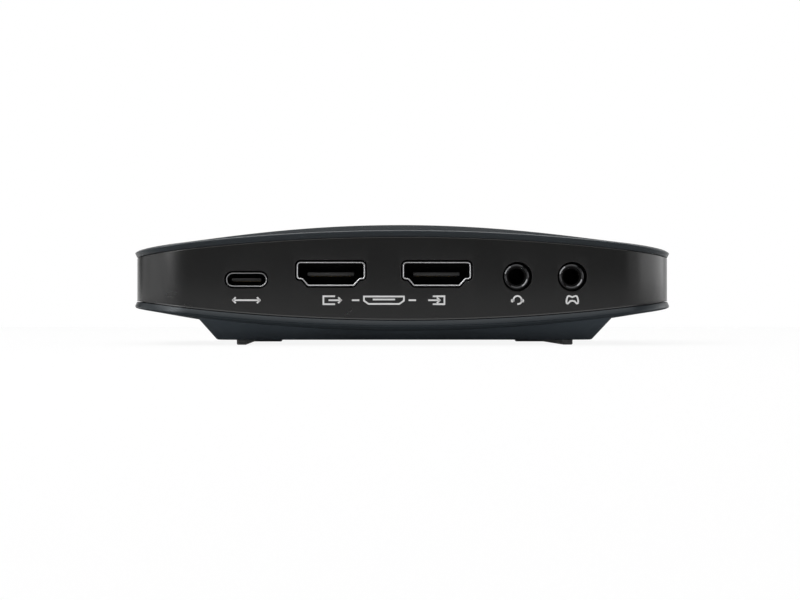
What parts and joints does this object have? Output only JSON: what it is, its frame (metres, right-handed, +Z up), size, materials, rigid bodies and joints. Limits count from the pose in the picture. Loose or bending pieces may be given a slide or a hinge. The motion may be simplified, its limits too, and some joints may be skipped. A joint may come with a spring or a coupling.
{
  "type": "video capture box",
  "caption": "Low rounded box with a crowned lid and base that passes video through and captures it, with video, data and audio sockets along one side.",
  "frame": {"origin": "middle of the footprint, on the plane that the feet stand on", "axes": "+X along the width, to the right when facing the sockets; +Y from the sockets to the front; +Z up"},
  "size_m": [0.1178, 0.07, 0.027],
  "materials": {
    "cover_plastic": "fine satin moulded texture, dark slate",
    "band_plastic": "smooth satin black",
    "foot_rubber": "dull dark grey rubber",
    "screw_steel": "bright zinc",
    "circuit_board": "green solder mask over glass fibre",
    "socket_metal": "nickel plated sheet",
    "socket_plastic": "black moulded insert",
    "contact_gold": "gold flash plating",
    "jack_plastic": "black moulded housing",
    "ring_metal": "dark nickel, turned",
    "chip_resin": "black moulding resin",
    "pad_rubber": "soft grey-blue pad",
    "sink_aluminium": "black anodised",
    "pin_nylon": "natural nylon",
    "can_metal": "drawn metal can",
    "inductor_ferrite": "pressed ferrite",
    "lamp_resin": "clear white lamp",
    "light_acrylic": "frosted clear acrylic"
  },
  "bodies": {
    "root": {"top_cover": "cover_plastic", "mid_band": "band_plastic", "bottom_cover": "cover_plastic", "left_foot": "foot_rubber", "right_foot": "foot_rubber", "case_screws": "screw_steel", "main_board": "circuit_board", "board_screws": "screw_steel", "data_shell": "socket_metal", "data_tongue": "socket_plastic", "data_contacts": "contact_gold", "video_out_shell": "socket_metal", "video_out_tongue": "socket_plastic", "video_out_contacts": "contact_gold", "video_in_shell": "socket_metal", "video_in_tongue": "socket_plastic", "video_in_contacts": "contact_gold", "headset_jack_housing": "jack_plastic", "headset_jack_ring": "ring_metal", "headset_jack_springs": "contact_gold", "controller_jack_housing": "jack_plastic", "controller_jack_ring": "ring_metal", "controller_jack_springs": "contact_gold", "video_processor": "chip_resin", "thermal_pad": "pad_rubber", "heat_sink": "sink_aluminium", "heat_sink_pins": "pin_nylon", "video_receiver_chip": "chip_resin", "video_splitter_chip": "chip_resin", "data_bridge_chip": "chip_resin", "memory_chips": "chip_resin", "flash_chip": "chip_resin", "audio_codec_chip": "chip_resin", "crystals": "can_metal", "power_inductors": "inductor_ferrite", "smoothing_capacitors": "can_metal", "status_led": "lamp_resin", "light_pipe": "light_acrylic"}
  },
  "joints": []
}
